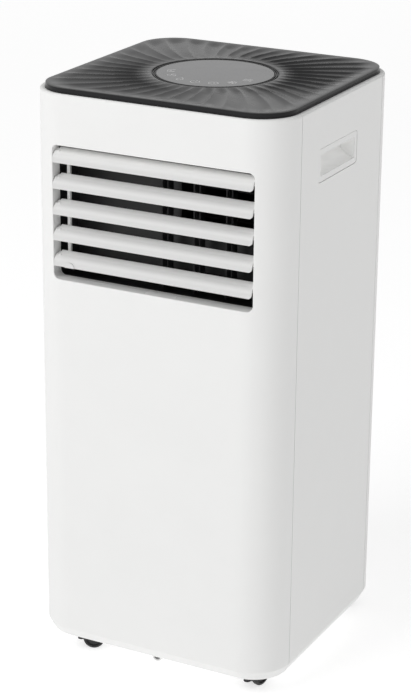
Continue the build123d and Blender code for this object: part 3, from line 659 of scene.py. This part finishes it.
def touch_icons():
    """Seven small printed signs on an arc at the front of the disc."""
    curve = bpy.data.curves.new("touch_icons", "CURVE")
    curve.dimensions = "3D"
    curve.bevel_depth = STROKE
    curve.bevel_resolution = 1
    signs = [moon, fan, drop, power, clock, snowflake, swing]
    for place, sign in enumerate(signs, -3):
        angle = radians(-90) + ICON_TURN * place
        centre = Vector((ICON_R * cos(angle), ICON_R * sin(angle), 0))
        for line in sign():
            spline = curve.splines.new("POLY")
            spline.points.add(len(line) - 1)
            for point, (x, y) in zip(spline.points, line):
                point.co = (centre.x + x * ICON_UNIT, centre.y + y * ICON_UNIT, 0, 1)
    holder = bpy.data.objects.new("icon_lines", curve)
    data = bpy.data.meshes.new_from_object(holder)
    bpy.data.objects.remove(holder)
    mesh = bmesh.new()
    mesh.from_mesh(data)
    bpy.data.meshes.remove(data)
    flat = Matrix.Diagonal((1, 1, PRINT_FLATNESS, 1))
    raised = Matrix.Translation((0, 0, GLASS_TOP + PRINT_RISE))
    bmesh.ops.transform(mesh, matrix=raised @ flat, verts=mesh.verts)
    return finish_piece(mesh, "touch_icons", [ICON_INK], "cabinet")


touch_icons()


# Floor, light and camera

FLOOR_HALF = 30
FLOOR_GLOW = 0.68
FLOOR_PATCH_MM = 400
SKY_STRENGTH = 0.34
# Each lamp's name, place, the point that it faces, its side in metres and its watts.
LAMPS = [
    ("key_light", (-1.3, -2.5, 2.7), (0, 0, 0.35), 2.0, 58),
    ("side_fill", (2.2, -0.2, 2.7), (0, 0, 0.5), 1.4, 10),
    ("back_light", (-2.1, 4.0, 2.4), (0, 0, 0.65), 4.0, 22),
]
CAMERA_TURN = 27.2
CAMERA_RISE = 20.24
CAMERA_ROLL = 0.55
CAMERA_PLACE = (1.02785, -2.01658, 1.17468)
LENS_MM = 111.49
SENSOR_MM = 36


def floor():
    """A wide pale floor, a little bright in itself so that shadows stay light."""
    mesh = bmesh.new()
    bmesh.ops.create_grid(mesh, x_segments=1, y_segments=1, size=FLOOR_HALF)
    data = bpy.data.meshes.new("studio_floor")
    mesh.to_mesh(data)
    mesh.free()
    material, tree, shader, place = start_material(
        "matt_white_floor", Emission_Strength=FLOOR_GLOW, Emission_Color=linear("FFFFFF")
    )
    vary(tree, shader, place, ("BCBCBC", "C0C0C0"), (0.9, 0.95), FLOOR_PATCH_MM)
    data.materials.append(material)
    ground = bpy.data.objects.new("studio_floor", data)
    bpy.context.scene.collection.objects.link(ground)


def lamp(name, place, target, size, watts):
    """A square soft light aimed at a point."""
    light = bpy.data.lights.new(name, "AREA")
    light.shape = "SQUARE"
    light.size = size
    light.energy = watts
    source = bpy.data.objects.new(name, light)
    aim = (Vector(target) - Vector(place)).to_track_quat("-Z", "Y").to_matrix().to_4x4()
    source.matrix_world = Matrix.Translation(place) @ aim
    bpy.context.scene.collection.objects.link(source)


def studio():
    """White surroundings with a key light from the front left, a side fill and a back light."""
    world = bpy.data.worlds.new("studio_white")
    world.use_nodes = True
    sky = world.node_tree.nodes["Background"]
    sky.inputs["Color"].default_value = (1, 1, 1, 1)
    sky.inputs["Strength"].default_value = SKY_STRENGTH
    bpy.context.scene.world = world
    for name, place, target, size, watts in LAMPS:
        lamp(name, place, target, size, watts)
    bpy.context.scene.view_settings.view_transform = "Standard"


def camera():
    """The main view, from the front and a little to the right, looking down."""
    data = bpy.data.cameras.new("main_view")
    data.sensor_width = SENSOR_MM
    data.lens = LENS_MM
    viewer = bpy.data.objects.new("main_view", data)
    look = (
        Matrix.Rotation(radians(CAMERA_TURN), 4, "Z")
        @ Matrix.Rotation(radians(90 - CAMERA_RISE), 4, "X")
        @ Matrix.Rotation(radians(CAMERA_ROLL), 4, "Z")
    )
    viewer.matrix_world = Matrix.Translation(CAMERA_PLACE) @ look
    bpy.context.scene.collection.objects.link(viewer)
    bpy.context.scene.camera = viewer


floor()
studio()
camera()
